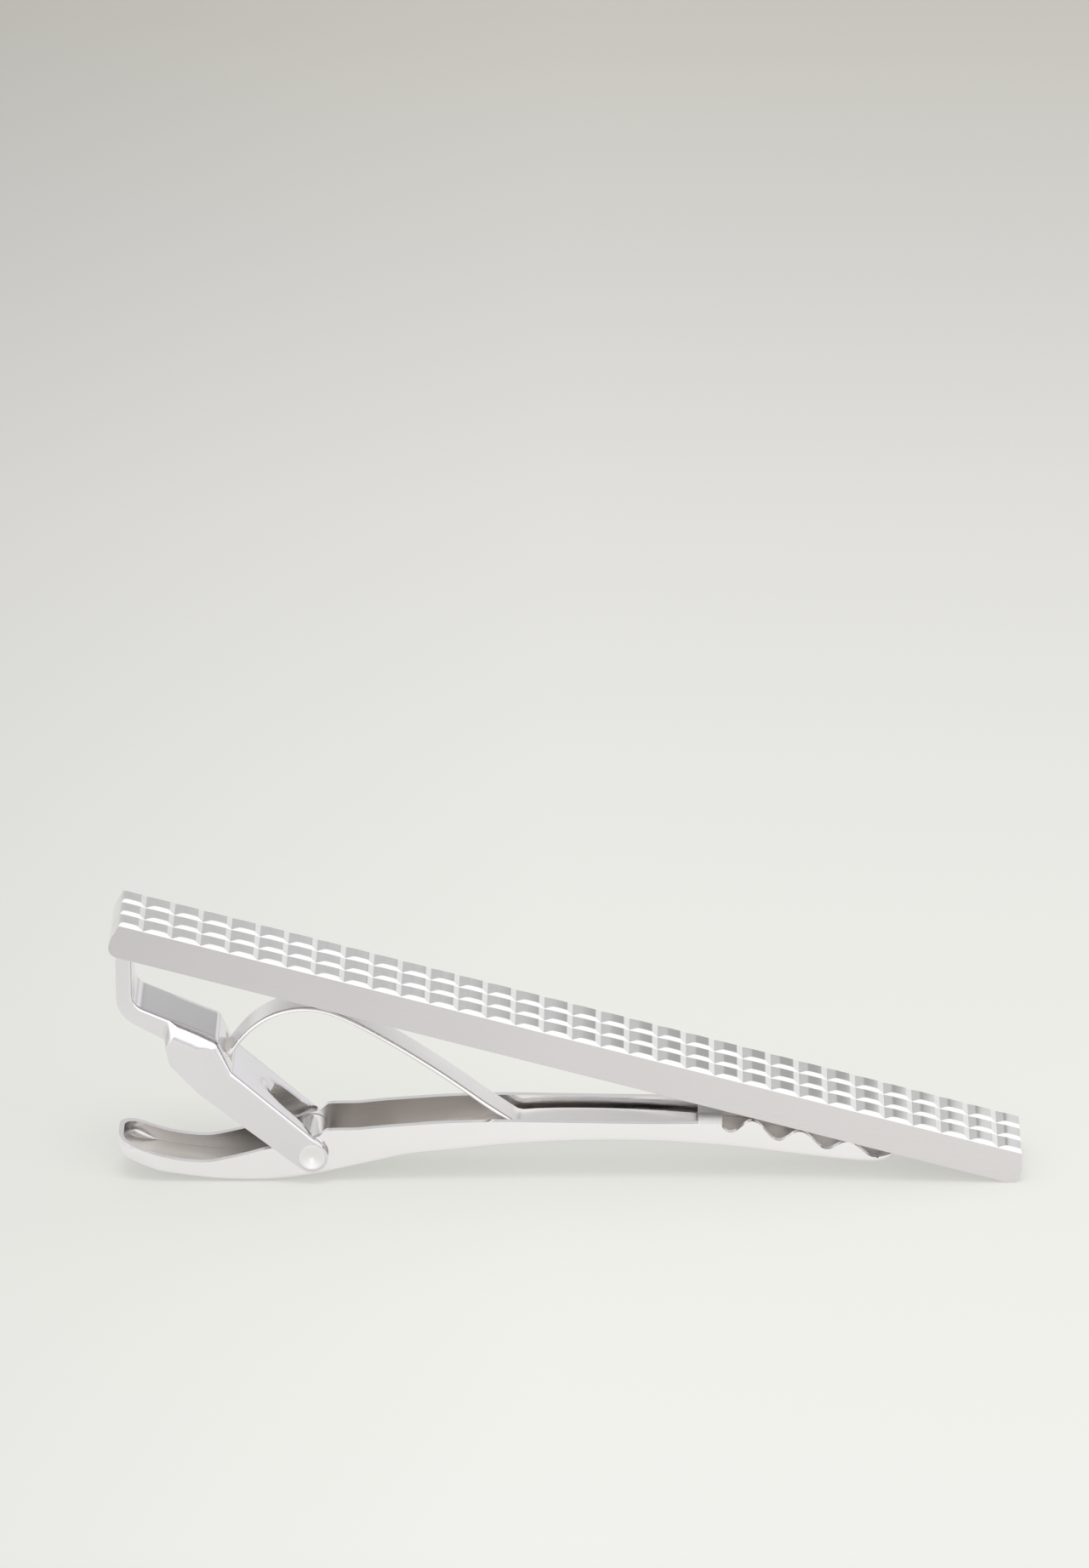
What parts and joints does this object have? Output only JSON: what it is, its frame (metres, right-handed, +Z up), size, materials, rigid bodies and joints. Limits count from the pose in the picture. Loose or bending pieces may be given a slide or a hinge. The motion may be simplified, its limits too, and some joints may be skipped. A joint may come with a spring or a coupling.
{
  "type": "tie clip",
  "caption": "Slim tie clip with a faceted solid face bar and a sprung, toothed alligator jaw on a pinned bracket underneath.",
  "frame": {"origin": "centre of the footprint on the table, the clip lying as in the picture on the belly of its jaw and one end of its bar", "axes": "+X along the clip towards the nose of the jaw, +Y across it away from the camera, +Z up"},
  "size_m": [0.0534, 0.0052, 0.0167],
  "materials": {
    "silver_face": "polished facets, satin sides",
    "polished_sheet": "polished",
    "polished_pin": "polished",
    "polished_jaw": "polished",
    "spring_strip": "fine brushed",
    "solder": "dull"
  },
  "bodies": {
    "bar": {"face_bar": "silver_face", "bracket": "polished_sheet", "hinge_pin": "polished_pin", "solder_seam": "solder"},
    "jaw": {"jaw_lever": "polished_jaw", "leaf_spring": "spring_strip"}
  },
  "joints": [
    {"name": "jaw_hinge", "type": "hinge", "parent": "bar", "child": "jaw", "pos_m": [-0.0151, 0, 0.00173], "axis": [0, 1, 0], "range_deg": [0, 26], "stiffness_Nm_per_rad": 0.03, "springref_deg": -20.05, "deforming": ["leaf_spring"]}
  ]
}
